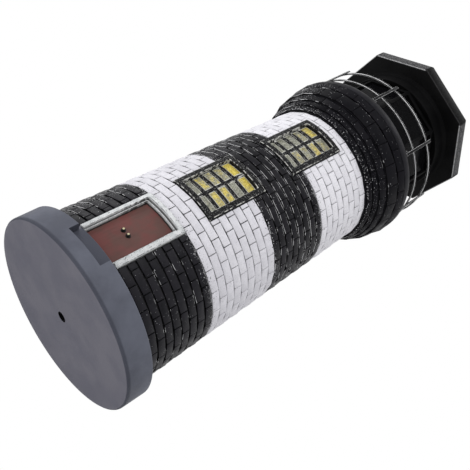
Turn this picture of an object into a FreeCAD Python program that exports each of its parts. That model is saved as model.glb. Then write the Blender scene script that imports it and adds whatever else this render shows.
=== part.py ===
import FreeCAD, Part
import os
from math import atan, cos, degrees, radians, sin

import Sketcher

# Solar garden lighthouse, millimetres, +Z up, origin at the middle of its underside.
# The door faces -Y. The tower is a hollow moulding with twenty-four flat-faced bricks in
# every course, laid in running bond and stepping in with the taper. A solar head plugs into
# the gallery: it carries the lantern, the turning mirror, the cell and the octagonal roof.

UP = FreeCAD.Vector(0, 0, 1)
SIDEWAYS = FreeCAD.Vector(1, 0, 0)
ROUND = 360
BITE = 0.5          # how far a cutting block runs past the face that it cuts

DRIVING_SIZES = {
    # base
    "base_radius": 55.0,
    "base_height": 15.5,
    "base_floor": 3.0,
    "plinth_radius": 50.2,
    "plinth_top": 17.5,
    "socket_radius": 46.6,
    "stake_hole_radius": 3.0,
    "doorstep_width": 25.0,
    "doorstep_depth": 6.0,
    # tower
    "tower_foot_radius": 49.75,
    "tower_taper": 0.035,
    "lower_black_top": 60.0,
    "lower_white_top": 107.5,
    "upper_black_top": 148.0,
    "tower_top": 189.0,
    "brick_arris": 0.6,
    "tower_wall": 3.35,
    "spigot_foot": 8.5,
    "spigot_wall": 2.1,
    # door
    "door_width": 29.8,
    "door_head": 60.0,
    "jamb_width": 3.7,
    "lintel_height": 4.2,
    "frame_proud": 0.9,
    "door_reveal": 2.4,
    "door_thickness": 1.6,
    "knob_radius": 1.2,
    "knob_height": 34.0,
    "knob_swing": 2.3,
    "knob_reach": 1.8,
    # windows
    "window_height": 40.6,
    "lower_window_width": 30.6,
    "lower_window_foot": 76.2,
    "upper_window_width": 29.0,
    "upper_window_foot": 140.0,
    "window_border": 3.4,
    "glazing_bar": 2.0,
    "top_light_extra": 3.0,         # the top row of panes is this much taller
    "glazing_depth": 1.3,
    "glazing_thickness": 1.0,
    "pane_thickness": 1.0,
    # gallery
    "corbel_flare": 1.3,
    "lip_radius": 53.5,
    "lip_foot": 215.8,
    "lip_top": 219.9,
    "deck_radius": 52.1,
    "deck_top": 223.0,
    "deck_thickness": 3.5,
    "deck_bore_radius": 34.2,
    "register_radius": 40.3,
    "register_wall": 2.2,
    "register_foot": 184.0,
    # railing
    "rail_radius": 51.2,
    "rail_width": 1.1,
    "rail_height": 1.3,
    "lower_rail_middle": 231.0,
    "upper_rail_middle": 245.0,
    "post_width": 1.9,
    "post_thickness": 0.9,
    "post_top": 248.0,
    "post_foot_size": 3.6,
    "post_foot_height": 2.0,
    # solar head
    "flange_radius": 41.5,
    "flange_foot": 223.1,
    "lantern_floor_top": 226.0,
    "lantern_floor": 2.4,
    "plug_radius": 34.0,
    "plug_wall": 2.0,
    "plug_foot": 199.0,
    "glass_corner_radius": 38.2,
    "glass_wall": 1.6,
    "lantern_top": 268.2,
    "cage_corner_radius": 39.8,
    "cage_rail_height": 2.8,
    "mullion_width": 1.4,
    "neck_radius": 40.2,
    "neck_wall": 3.2,
    "roof_foot": 278.2,
    "roof_top": 286.2,
    "roof_corner_radius": 54.0,
    "roof_bevel": 1.3,
    "panel_size": 60.0,
    "panel_thickness": 2.2,
    "bezel_size": 66.0,
    "bezel_opening": 57.0,
    "bezel_thickness": 1.0,
    # turning mirror
    "carrier_radius": 11.0,
    "carrier_foot": 230.0,
    "mirror_middle": 246.0,
    "mirror_thickness": 0.8,
    "shaft_radius": 1.0,
    "shaft_foot": 214.3,
    "shaft_top": 240.0,
    "motor_radius": 7.6,
    "motor_foot": 206.2,
    "motor_top": 222.2,
    # tray under the lantern floor
    "tray_radius": 31.9,
    "tray_foot": 199.2,
    "tray_thickness": 2.2,
    "cell_radius": 5.2,
    "cell_length": 43.0,
    "cell_offset": 15.0,
    "cell_axis_height": 207.3,
    "cover_length": 43.6,
    "cover_width": 11.6,
    "cover_thickness": 1.3,
    "screw_circle": 28.4,
    "screw_radius": 0.75,
    "board_length": 34.0,
    "board_width": 15.5,
    "board_thickness": 1.2,
    "switch_offset": 17.0,
    "switch_travel": 3.0,
    "clearance": 0.1,
}
BRICKS_ROUND = 24
TOWER_BANDS = (("lower_black_top", 8), ("lower_white_top", 9), ("upper_black_top", 8), ("tower_top", 8))
CORBEL_COURSES = ((4.0, 46.8), (3.6, 48.5), (5.2, 50.6), (8.5, 52.9), (5.5, 54.1))   # height, radius
WINDOW_ROWS = 5
OCTAGON = 8
SMOOTH_SIDES = 48   # sides of the lip, the rails and the skins of door and windows
DRUM_SIDES = 24
SMALL_ROUND = 12    # sides of bosses, screws and other small hidden rounds
SCREW_ANGLES = (15, 165, 270)

doc = FreeCAD.newDocument("Lighthouse")


class Size:
    """A length that knows its number and the sheet formula that gives it."""

    def __init__(self, number, formula):
        self.number = number
        self.formula = formula

    def joined(self, other, sign, number):
        return Size(number, f"({self.formula} {sign} {size(other).formula})")

    def __add__(self, other):
        return self.joined(other, "+", self.number + size(other).number)

    def __sub__(self, other):
        return self.joined(other, "-", self.number - size(other).number)

    def __mul__(self, factor):
        return self.joined(factor, "*", self.number * size(factor).number)

    def __rmul__(self, factor):
        return self * factor

    def __truediv__(self, factor):
        return self.joined(factor, "/", self.number / size(factor).number)

    def __neg__(self):
        return self * -1


def size(value):
    """Any plain number as a Size."""
    if isinstance(value, Size):
        return value
    return Size(float(value), f"{value:.9g}")


class Dimensions:
    """The driving sizes, each read by its name."""

    def __init__(self, sizes):
        self.sheet = doc.addObject("Spreadsheet::Sheet", "dims")
        for row, (name, number) in enumerate(sizes.items(), start=1):
            self.sheet.set(f"A{row}", name.replace("_", " "))
            self.sheet.set(f"B{row}", f"{number:g}")
            self.sheet.setAlias(f"B{row}", name)
            setattr(self, name, Size(number, f"dims.{name}"))


d = Dimensions(DRIVING_SIZES)
doc.recompute()


def bind(thing, **sizes):
    for name, value in sizes.items():
        thing.setExpression(name, size(value).formula)


def place(thing, x=0, y=0, z=0, turn=0, tilt=None):
    """Stands a piece at x, y, z, then swings it about the tower's axis by turn degrees."""
    across, along = round(cos(radians(turn)), 9), round(sin(radians(turn)), 9)
    x, y = size(x), size(y)
    rotation = FreeCAD.Rotation(UP, turn)
    if tilt:
        rotation = rotation.multiply(tilt)
    thing.Placement = FreeCAD.Placement(FreeCAD.Vector(), rotation)
    thing.setExpression("Placement.Base.x", (x * across - y * along).formula)
    thing.setExpression("Placement.Base.y", (x * along + y * across).formula)
    thing.setExpression("Placement.Base.z", size(z).formula)
    return thing


def block(name, x, y, z, turn=0):
    """A box between the low and high values of x, y and z."""
    box = doc.addObject("Part::Box", name)
    spans = [size(high) - low for low, high in (x, y, z)]
    bind(box, Length=spans[0], Width=spans[1], Height=spans[2])
    return place(box, x[0], y[0], z[0], turn)


def rod(name, radius, foot, top, x=0, y=0, turn=0):
    """An upright cylinder."""
    cylinder = doc.addObject("Part::Cylinder", name)
    bind(cylinder, Radius=radius, Height=size(top) - foot)
    return place(cylinder, x, y, foot, turn)


def prism(name, sides, corner_radius, foot, top, turn=0, x=0, y=0):
    """An upright prism with a regular outline."""
    solid = doc.addObject("Part::Prism", name)
    solid.Polygon = sides
    bind(solid, Circumradius=corner_radius, Height=size(top) - foot)
    return place(solid, x, y, foot, turn)


def stud(name, radius, foot, top, x=0, y=0, turn=0):
    """A small upright round with flats."""
    return prism(name, SMALL_ROUND, radius, foot, top, turn, x, y)


def fuse(name, *pieces):
    joined = doc.addObject("Part::MultiFuse", name)
    joined.Shapes = list(pieces)
    return joined


def cut(name, body, *tools):
    """The body less every tool."""
    result = doc.addObject("Part::Cut", name)
    result.Base = body
    result.Tool = tools[0] if len(tools) == 1 else fuse(name + "_tools", *tools)
    return result


def common(name, first, second):
    result = doc.addObject("Part::Common", name)
    result.Base = first
    result.Tool = second
    return result


def group(name, *pieces):
    """Separate solids that share one node."""
    compound = doc.addObject("Part::Compound", name)
    compound.Links = list(pieces)
    return compound


def chamfer(name, base, height, setback, wanted):
    """Bevels the edges of base that the test named wanted picks."""
    doc.recompute()
    bevel = doc.addObject("Part::Chamfer", name)
    bevel.Base = base
    edges = [index for index, edge in enumerate(base.Shape.Edges, start=1) if wanted(edge)]
    bevel.Edges = [(index, size(height).number, size(setback).number) for index in edges]
    return bevel


def level(z):
    """A test for edges that lie flat at height z."""
    return lambda edge: abs(edge.BoundBox.ZMin - z.number) + abs(edge.BoundBox.ZMax - z.number) < 1e-5


def outline(body, name, corners):
    """A closed upright sketch through the corners, each pinned to the sheet."""
    support = next(part for part in body.Origin.OriginFeatures if part.Role == "XZ_Plane")
    sketch = body.newObject("Sketcher::SketchObject", name)
    sketch.AttachmentSupport = [(support, "")]
    sketch.MapMode = "FlatFace"
    corners = [(size(x), size(y)) for x, y in corners]
    count = len(corners)
    points = [FreeCAD.Vector(x.number, y.number, 0) for x, y in corners]
    for index in range(count):
        sketch.addGeometry(Part.LineSegment(points[index], points[(index + 1) % count]))
    for index in range(count):
        sketch.addConstraint(Sketcher.Constraint("Coincident", index, 2, (index + 1) % count, 1))
    for index, corner in enumerate(corners):
        for kind, value in zip(("DistanceX", "DistanceY"), corner):
            number = sketch.addConstraint(Sketcher.Constraint(kind, -1, 1, index, 1, value.number))
            label = f"{kind.lower()}_{index}"
            sketch.renameConstraint(number, label)
            sketch.setExpression(f"Constraints.{label}", value.formula)
    return sketch


def turned(name, corners):
    """A body turned about the tower's axis from (radius, height) corners."""
    body = doc.addObject("PartDesign::Body", name)
    profile = outline(body, name + "_profile", corners)
    turning = body.newObject("PartDesign::Revolution", name + "_turning")
    turning.Profile = profile
    turning.ReferenceAxis = (profile, ["V_Axis"])
    turning.Angle = ROUND
    return body


def tower_radius(z):
    """The brick corners' distance from the axis at height z."""
    return d.tower_foot_radius - (size(z) - d.plinth_top) * d.tower_taper


def wall_skin(name, outwards, inwards, foot, top):
    """A curved layer that leans with the wall's front, from outwards before it to inwards behind it."""
    lean = atan(d.tower_taper.number)
    tilt = FreeCAD.Rotation(SIDEWAYS, -degrees(lean))
    middle = (size(foot) + top) / 2
    reach = (size(top) - foot) / 2 + 4
    layers = []
    for side, offset in (("outer", outwards), ("inner", -inwards)):
        layer = doc.addObject("Part::Prism", f"{name}_{side}")
        layer.Polygon = SMOOTH_SIDES
        bind(layer, Circumradius=tower_radius(middle) + offset, Height=reach * 2)
        layers.append(place(layer, 0, -reach * round(sin(lean), 6), middle - reach * round(cos(lean), 6),
                            tilt=tilt))
    return cut(name, *layers)


def centred(width):
    """Low and high values of a span about zero."""
    return (-size(width) / 2, size(width) / 2)


def front_block(name, width, foot, top):
    """A block on the door's side of the tower, deep enough to pass through its wall."""
    return block(name, centred(width), (-60, -36), (foot, top))


def course(name, foot, top, corner_radius, turn, bevel_height, bevel_setback):
    """A ring of flat bricks whose lower edge is bevelled, which makes the bed joint."""
    ring = prism(name + "_ring", BRICKS_ROUND, corner_radius, foot, top, turn)
    bevel = doc.addObject("Part::Chamfer", name)
    bevel.Base = ring
    bevel.Edges = [(edge, size(bevel_height).number, size(bevel_setback).number) for edge in foot_edges]
    return bevel


def find_foot_edges():
    """The numbers of a brick ring's lower edges, which are the same on every ring."""
    sample = prism("sample_ring", BRICKS_ROUND, d.tower_foot_radius, 0, 1)
    doc.recompute()
    edges = [index for index, edge in enumerate(sample.Shape.Edges, start=1) if edge.BoundBox.ZMax < 1e-6]
    doc.removeObject(sample.Name)
    return edges


foot_edges = find_foot_edges()


# ---- base ----

def make_base():
    """Round cup with a plinth for the tower, a hole in its floor and a doorstep in its rim."""
    body = turned("base", [
        (d.stake_hole_radius, 0),
        (d.base_radius, 0),
        (d.base_radius, d.base_height),
        (d.plinth_radius, d.base_height),
        (d.plinth_radius, d.plinth_top),
        (d.stake_hole_radius, d.plinth_top),
    ])
    socket = prism("base_socket", BRICKS_ROUND, d.socket_radius, d.base_floor, d.plinth_top + BITE)
    step = d.base_height - d.doorstep_depth
    notch = block("doorstep", centred(d.doorstep_width), (-60, -40), (step, d.base_height + BITE))
    kept = rod("doorstep_back", d.plinth_radius, step - BITE, d.base_height + 2 * BITE)
    return cut("base_disc", body, socket, cut("doorstep_space", notch, kept))


# ---- tower ----

def make_tower():
    """The brick shell: courses in running bond, hollow, with openings for the door and windows."""
    courses = []
    foot = d.plinth_top
    for band, count in TOWER_BANDS:
        band_foot = foot
        pitch = (getattr(d, band) - band_foot) / count
        for step in range(1, count + 1):
            number = len(courses)
            top = band_foot + pitch * step
            half_brick = ROUND / BRICKS_ROUND / 2 * (number % 2)
            courses.append(course(f"course_{number + 1}", foot, top, tower_radius(foot), half_brick,
                                  d.brick_arris, d.brick_arris))
            foot = top
    solid = fuse("brickwork", *courses)
    collar_top = d.plinth_top + 6.5
    spigot_radius = d.socket_radius - d.clearance
    spigot = cut("spigot", prism("spigot_outside", BRICKS_ROUND, spigot_radius, d.spigot_foot, collar_top),
                 prism("spigot_inside", BRICKS_ROUND, spigot_radius - d.spigot_wall,
                       d.spigot_foot - BITE, collar_top + BITE))
    hollow = doc.addObject("Part::Loft", "hollow")
    hollow.Sections = [section("hollow_foot", d.tower_foot_radius - d.tower_wall, d.plinth_top - BITE),
                       section("hollow_top", tower_radius(d.tower_top) - d.tower_wall, d.tower_top + BITE)]
    hollow.Solid = True
    hollow.Ruled = True
    shell = fuse("shell_and_spigot", cut("shell", solid, hollow), spigot)
    room = 2 * d.clearance.number
    openings = [front_block("door_opening", d.door_width + room, d.plinth_top, d.door_head + d.clearance)]
    for name, width, window_foot in windows:
        openings.append(front_block(name + "_opening", width + room, window_foot - d.clearance,
                                    window_foot + d.window_height + d.clearance))
    return cut("tower_shell", shell, *openings)


def section(name, corner_radius, height):
    """A regular outline with as many sides as a course has bricks."""
    polygon = doc.addObject("Part::RegularPolygon", name)
    polygon.Polygon = BRICKS_ROUND
    bind(polygon, Circumradius=corner_radius)
    return place(polygon, z=height)


# ---- door ----

def make_door():
    """White jambs and lintel, the sunken leaf behind them and its pair of knobs."""
    foot, head = d.plinth_top + d.clearance, d.door_head
    reveal = d.door_reveal + d.door_thickness
    opening = d.door_width - d.jamb_width * 2
    frame_block = cut("frame_block", front_block("frame_outside", d.door_width, foot, head),
                      front_block("frame_inside", opening, foot - BITE, head - d.lintel_height))
    skin = wall_skin("frame_skin", d.frame_proud, reveal, foot, head)
    common("door_frame", skin, frame_block)
    leaf_skin = wall_skin("leaf_skin", -d.door_reveal, reveal, foot, head)
    leaf_block = front_block("leaf_block", opening - d.clearance, foot, head - d.lintel_height - d.clearance / 2)
    common("door_panel", leaf_skin, leaf_block)
    leaf_face = tower_radius(d.knob_height) - d.door_reveal
    swing = d.knob_swing.number
    group("door_knobs", knob("left_knob", leaf_face, -swing), knob("right_knob", leaf_face, swing))


def knob(name, face, swing):
    """A round knob on a thin stem that points out of the door."""
    outwards = FreeCAD.Rotation(SIDEWAYS, 90)
    stem = doc.addObject("Part::Prism", name + "_stem")
    stem.Polygon = SMALL_ROUND
    bind(stem, Circumradius=d.knob_radius * 0.55, Height=d.knob_reach)
    place(stem, 0, -face, d.knob_height, swing, outwards)
    head = doc.addObject("Part::Cylinder", name + "_head")
    bind(head, Radius=d.knob_radius, Height=d.knob_reach * 0.6)
    place(head, 0, -(face + d.knob_reach * 0.4), d.knob_height, swing, outwards)
    return fuse(name, stem, head)


# ---- windows ----

windows = (("lower_window", d.lower_window_width, d.lower_window_foot),
           ("upper_window", d.upper_window_width, d.upper_window_foot))


def make_window(name, width, foot):
    """A black frame that follows the wall, its glazing bars and the lit sheet behind them."""
    top = foot + d.window_height
    border = d.window_border
    back = d.glazing_depth + d.glazing_thickness + d.pane_thickness
    inner = width - border * 2
    clear_foot, clear_top = foot + border, top - border
    rim = common(name + "_rim", wall_skin(name + "_rim_skin", d.frame_proud, back, foot, top),
                 cut(name + "_rim_block", front_block(name + "_outside", width, foot, top),
                     front_block(name + "_inside", inner, clear_foot, clear_top)))
    bar = d.glazing_bar
    overlap = BITE
    bars = [front_block(name + "_mullion", bar, clear_foot - overlap, clear_top + overlap)]
    pitch = (clear_top - d.top_light_extra - clear_foot + bar) / WINDOW_ROWS
    for row in range(1, WINDOW_ROWS):
        bar_top = clear_foot + pitch * row
        bars.append(front_block(f"{name}_bar_{row}", inner + 2 * overlap, bar_top - bar, bar_top))
    grid = common(name + "_grid",
                  wall_skin(name + "_grid_skin", -d.glazing_depth, d.glazing_depth + d.glazing_thickness,
                            foot, top), fuse(name + "_bars", *bars))
    fuse(name + "_frame", rim, grid)
    gap = d.clearance / 2
    common(name + "_panes",
           wall_skin(name + "_pane_skin", -(d.glazing_depth + d.glazing_thickness), back, foot, top),
           front_block(name + "_pane_block", inner - gap * 2, clear_foot + gap, clear_top - gap))


# ---- gallery ----

def make_gallery():
    """Five courses that flare out under a bevelled lip and the deck, hollow for the solar head."""
    pieces = []
    foot = d.tower_top
    for number, (height, radius) in enumerate(CORBEL_COURSES):
        top = foot + height
        half_brick = ROUND / BRICKS_ROUND / 2 * ((number + 1) % 2)
        pieces.append(course(f"corbel_{number + 1}", foot, top, radius, half_brick,
                             height * 0.62, d.corbel_flare))
        foot = top
    deck = prism("deck_outline", SMOOTH_SIDES, d.lip_radius, d.lip_foot - BITE, d.deck_top)
    pieces.append(chamfer("lip", deck, d.deck_top - d.lip_top, d.lip_radius - d.deck_radius, level(d.deck_top)))
    pieces.append(prism("register", BRICKS_ROUND, d.register_radius, d.register_foot, d.tower_top + 1))
    inner = d.register_radius - d.register_wall
    ledge, waist, ceiling = d.tower_top + 3, d.tower_top + 13, d.deck_top - d.deck_thickness
    rooms = [prism(name, BRICKS_ROUND, radius, room_foot, room_top) for name, radius, room_foot, room_top in (
        ("register_room", inner, d.register_foot - BITE, ledge),
        ("lower_room", inner + 5, ledge, waist),
        ("upper_room", inner + 9, waist, ceiling))]
    bore = prism("deck_bore", DRUM_SIDES, d.deck_bore_radius, ceiling - BITE, d.deck_top + BITE)
    cut("gallery_corbel", fuse("gallery_solid", *pieces), *rooms, bore)


def make_railing():
    """Two thin hoops inside eight flat posts, each post on a small square foot."""
    inner = d.rail_radius - d.rail_width
    for name, middle in (("lower_rail", d.lower_rail_middle), ("upper_rail", d.upper_rail_middle)):
        foot, top = middle - d.rail_height / 2, middle + d.rail_height / 2
        cut(name, prism(name + "_outside", SMOOTH_SIDES, d.rail_radius, foot, top),
            prism(name + "_inside", SMOOTH_SIDES, inner, foot - BITE, top + BITE))
    posts = []
    face = d.rail_radius + d.clearance / 2
    for number in range(OCTAGON):
        turn = number * ROUND / OCTAGON
        post = block(f"post_{number + 1}_bar", centred(d.post_width), (-face - d.post_thickness, -face),
                     (d.deck_top, d.post_top), turn)
        foot = block(f"post_{number + 1}_foot", centred(d.post_foot_size), (-face, -face + d.post_foot_size),
                     (d.deck_top, d.deck_top + d.post_foot_height), turn)
        posts.append(fuse(f"post_{number + 1}", post, foot))
    group("railing_posts", *posts)


# ---- solar head ----

def make_lantern_base():
    """The head's octagonal floor with the plug that sits in the deck, and three screw bosses."""
    ceiling = d.lantern_floor_top - d.lantern_floor
    floor = prism("lantern_floor", OCTAGON, d.flange_radius, d.flange_foot, d.lantern_floor_top)
    plug = prism("plug_outside", DRUM_SIDES, d.plug_radius, d.plug_foot, d.flange_foot + BITE)
    room = prism("plug_room", DRUM_SIDES, d.plug_radius - d.plug_wall, d.plug_foot - BITE, ceiling)
    boss_foot = d.tray_foot + d.tray_thickness + d.clearance
    bosses = []
    holes = [stud("shaft_hole", d.shaft_radius + 0.8, ceiling - BITE, d.lantern_floor_top + BITE)]
    for angle in SCREW_ANGLES:
        bosses.append(stud(f"boss_{angle}", 2.6, boss_foot, ceiling + 1, x=d.screw_circle, turn=angle))
        holes.append(stud(f"boss_hole_{angle}", d.screw_radius + 0.02, boss_foot - BITE, boss_foot + 7,
                          x=d.screw_circle, turn=angle))
    shell = cut("floor_and_plug", fuse("floor_on_plug", floor, plug), room)
    cut("lantern_base", fuse("floor_and_bosses", shell, *bosses), *holes)


def make_lantern():
    """Eight flat panes in one tube, and the cage of mullions round it."""
    foot, top = d.lantern_floor_top, d.lantern_top
    glass = d.glass_corner_radius
    cut("lantern_glass", prism("glass_outside", OCTAGON, glass, foot, top),
        prism("glass_inside", OCTAGON, glass - d.glass_wall, foot - BITE, top + BITE))
    half_side = d.cage_corner_radius * sin(radians(ROUND / OCTAGON / 2)) - d.mullion_width
    lights = []
    for number in range(OCTAGON):
        lights.append(block(f"light_{number + 1}", (-half_side, half_side), (-45, -30),
                            (foot + d.cage_rail_height, top - d.cage_rail_height),
                            (number + 0.5) * ROUND / OCTAGON))
    cut("lantern_cage", prism("cage_outside", OCTAGON, d.cage_corner_radius, foot, top),
        prism("cage_inside", OCTAGON, glass + d.clearance, foot - BITE, top + BITE), *lights)


def make_roof():
    """Octagonal roof on a round neck, with a recess for the solar panel and its bezel."""
    slab = prism("roof_slab", OCTAGON, d.roof_corner_radius, d.roof_foot, d.roof_top)
    upper = chamfer("roof_upper_bevel", slab, d.roof_bevel, d.roof_bevel, level(d.roof_top))
    neck = rod("neck_outside", d.neck_radius, d.lantern_top, d.roof_foot + 1)
    neck_hollow = prism("neck_hollow", BRICKS_ROUND, d.neck_radius - d.neck_wall,
                        d.lantern_top - BITE, d.roof_foot)
    bezel_foot = d.roof_top - d.bezel_thickness
    panel_foot = bezel_foot - d.panel_thickness
    room = 2 * d.clearance.number
    recesses = []
    for name, width, foot in (("bezel_recess", d.bezel_size + room, bezel_foot),
                              ("panel_recess", d.panel_size + room, panel_foot),
                              ("wiring_space", d.panel_size - 6, d.roof_foot + 2)):
        recesses.append(block(name, centred(width), centred(width), (foot, d.roof_top + BITE)))
    cut("roof_cap", fuse("roof_and_neck", upper, neck), neck_hollow, *recesses)
    block("solar_panel", centred(d.panel_size), centred(d.panel_size), (panel_foot, bezel_foot))
    opening = centred(d.bezel_opening)
    cut("panel_bezel",
        block("bezel_outside", centred(d.bezel_size), centred(d.bezel_size), (bezel_foot, d.roof_top)),
        block("bezel_inside", opening, opening, (bezel_foot - BITE, d.roof_top + BITE)))


def make_beacon():
    """A drum sliced at 45 degrees with a mirror on the slope, turned by a small motor."""
    foot, middle, radius = d.carrier_foot, d.mirror_middle, d.carrier_radius
    top = middle + radius + 2
    drum = cut("drum", prism("drum_outside", DRUM_SIDES, radius, foot, top),
               stud("drum_bore", d.shaft_radius + 0.06, foot - BITE, d.shaft_top + d.clearance))
    cut("mirror_carrier", drum, slope("above_slope", middle, radius * 2))
    common("beacon_mirror", prism("mirror_outline", DRUM_SIDES, radius - 0.4, foot, top + 4),
           slope("mirror_slab", middle, d.mirror_thickness))
    rod("drive_shaft", d.shaft_radius, d.shaft_foot, d.shaft_top)
    cut("drive_motor", rod("motor_can", d.motor_radius, d.motor_foot, d.motor_top),
        stud("motor_bore", d.shaft_radius + 0.08, d.shaft_foot - d.clearance, d.motor_top + BITE))
    ceiling = d.lantern_floor_top - d.lantern_floor
    cut("motor_bracket", block("bracket_plate", (-12, 12), (-7.9, 8), (d.motor_top, ceiling)),
        stud("bracket_hole", 2.2, d.motor_top - BITE, ceiling + BITE))
    block("lamp_board", (-10, 10), (-10, 10), (d.roof_foot - d.board_thickness, d.roof_foot))
    lamp_foot = d.roof_foot - d.board_thickness
    fuse("beacon_lamp", stud("lamp_flange", 2.9, lamp_foot - 1, lamp_foot),
         rod("lamp_dome", 2.5, lamp_foot - 5.6, lamp_foot - 1))


def slope(name, middle, depth):
    """A block that stands on the 45-degree plane through the axis at the height named middle."""
    slab = doc.addObject("Part::Box", name)
    reach = 25
    bind(slab, Length=reach * 2, Width=reach * 2, Height=depth)
    run = round(reach * sin(radians(45)), 6)
    return place(slab, -reach, -run, middle - run, tilt=FreeCAD.Rotation(SIDEWAYS, 45))


def make_tray():
    """The plate that closes the plug, with the cell, its door, the board and the switch."""
    foot, top = d.tray_foot, d.tray_foot + d.tray_thickness
    offset = d.cell_offset
    cell_y = (-offset - d.cover_width / 2, -offset + d.cover_width / 2)
    room = d.clearance
    plate = prism("plate_outline", DRUM_SIDES, d.tray_radius, foot, top)
    wall_foot, wall_top = top - BITE, d.cell_axis_height + 4.7
    end = d.cell_length / 2 + 1.6
    posts = [block(f"cell_stop_{side}", (side * (end + 0.65) - 0.65, side * (end + 0.65) + 0.65),
                   (-offset - 4.4, -offset + 4.4), (wall_foot, wall_top)) for side in (-1, 1)]
    recess = block("cover_recess", (-d.cover_length / 2 - room, d.cover_length / 2 + room),
                   (cell_y[0] - room, cell_y[1] + room), (foot - BITE, foot + d.cover_thickness + room))
    opening = block("cell_opening", (-d.cover_length / 2 + 2.3, d.cover_length / 2 - 2.3),
                    (cell_y[0] + 1, cell_y[1] - 1), (foot, top + BITE))
    slot_half = d.switch_travel + room * 2
    slot_y = (d.switch_offset - 1.5, d.switch_offset + 1.5)
    slot = block("switch_slot", (-slot_half, slot_half), slot_y, (foot - BITE, top + BITE))
    holes = [stud(f"tray_hole_{angle}", d.screw_radius + 0.2, foot - BITE, top + BITE,
                  x=d.screw_circle, turn=angle) for angle in SCREW_ANGLES]
    cut("tray_plate", fuse("plate_and_stops", plate, *posts), recess, opening, slot, *holes)
    cover = block("cover_plate", centred(d.cover_length), cell_y, (foot, foot + d.cover_thickness))
    ribs = [block(f"cover_rib_{number}", (14 + number * 2, 14.8 + number * 2), (-offset - 3.5, -offset + 3.5),
                  (foot - 0.5, foot + BITE)) for number in range(3)]
    fuse("battery_cover", cover, *ribs)
    screws = []
    for angle in SCREW_ANGLES:
        head = stud(f"screw_head_{angle}", 1.7, foot - 0.8, foot, x=d.screw_circle, turn=angle)
        shank = stud(f"screw_shank_{angle}", d.screw_radius, foot - 0.4, foot + 8.5,
                     x=d.screw_circle, turn=angle)
        screws.append(fuse(f"screw_{angle}", head, shank))
    group("tray_screws", *screws)
    make_switch(foot, top, slot_y)
    fuse("window_lamp", stud("window_lamp_flange", 2.9, foot - 1, foot),
         rod("window_lamp_dome", 2.5, foot - 5.6, foot - 1))


def make_switch(foot, top, slot_y):
    """A small slide switch above the tray plate; its knob stands out below."""
    half = d.switch_travel
    pocket_top = top + 2.1
    cut("switch_body",
        block("switch_case", (-6, 6), (slot_y[0] - 1.6, slot_y[1] + 1.6), (top, top + 5.4)),
        block("switch_pocket", (-half - 0.2, half + 0.2), slot_y, (top - BITE, pocket_top)))
    block("switch_knob", (-half, 0), (slot_y[0] + d.clearance, slot_y[1] - d.clearance),
          (foot - 1.6, pocket_top - d.clearance))


def make_power():
    """The rechargeable cell, its two contacts and the charging board."""
    y, z, half = -d.cell_offset, d.cell_axis_height, d.cell_length / 2
    lying = FreeCAD.Rotation(FreeCAD.Vector(0, 1, 0), 90)
    can = doc.addObject("Part::Cylinder", "cell_can")
    bind(can, Radius=d.cell_radius, Height=d.cell_length)
    place(can, -half, y, z, tilt=lying)
    nub = doc.addObject("Part::Prism", "cell_nub")
    nub.Polygon = SMALL_ROUND
    bind(nub, Circumradius=1.9, Height=1.2)
    place(nub, half - 0.2, y, z, tilt=lying)
    fuse("battery_cell", can, nub)
    wide, tall = (y - 4.2, y + 4.2), (z - 4.4, z + 4.4)
    group("battery_contacts", block("plus_contact", (half + 1.05, half + 1.55), wide, tall),
          block("minus_contact", (-half - 1.55, -half - 0.05), wide, tall))
    ceiling = d.lantern_floor_top - d.lantern_floor
    board_foot = ceiling - d.board_thickness
    board_y = (9.5, d.board_width + 9.5)
    block("circuit_board", centred(d.board_length), board_y, (board_foot, ceiling))
    group("circuit_parts",
          block("charge_chip", (-4, 1), (14, 18), (board_foot - 1.6, board_foot)),
          stud("choke", 2.6, board_foot - 3.2, board_foot, x=8, y=17),
          stud("capacitor", 2.0, board_foot - 5.0, board_foot, x=-11, y=17))


NODES = (
    "base_disc", "tower_shell", "door_frame", "door_panel", "door_knobs",
    "lower_window_frame", "lower_window_panes", "upper_window_frame", "upper_window_panes",
    "gallery_corbel", "railing_posts", "lower_rail", "upper_rail",
    "lantern_base", "lantern_glass", "lantern_cage", "roof_cap", "panel_bezel", "solar_panel",
    "lamp_board", "beacon_lamp", "mirror_carrier", "beacon_mirror", "drive_shaft", "drive_motor",
    "motor_bracket", "tray_plate", "tray_screws", "battery_cover", "battery_cell", "battery_contacts",
    "circuit_board", "circuit_parts", "switch_body", "switch_knob", "window_lamp",
)


def check(thing):
    """Stops the build if an object failed."""
    for flag in ("Invalid", "Error"):
        if flag in thing.State:
            raise RuntimeError(f"{thing.Label} is {flag}")


def export():
    """Tests every piece and writes one file for each node."""
    os.makedirs("parts", exist_ok=True)
    for thing in doc.Objects:
        check(thing)
    for name in NODES:
        shape = doc.getObjectsByLabel(name)[0].Shape
        if shape.isNull() or not shape.isValid() or not shape.Solids:
            raise RuntimeError(f"{name} has no valid solid")
        shape.exportStep(f"parts/{name}.step")
        print(f"{name:20s} solids {len(shape.Solids)}  faces {len(shape.Faces):4d}  "
              f"volume {shape.Volume / 1000:8.3f} cm3")


make_base()
make_tower()
make_door()
for window in windows:
    make_window(*window)
make_gallery()
make_railing()
make_lantern_base()
make_lantern()
make_roof()
make_beacon()
make_tray()
make_power()
doc.recompute()
export()
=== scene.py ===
import math
import random

import bmesh
import bpy
from mathutils import Matrix, Vector

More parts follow.
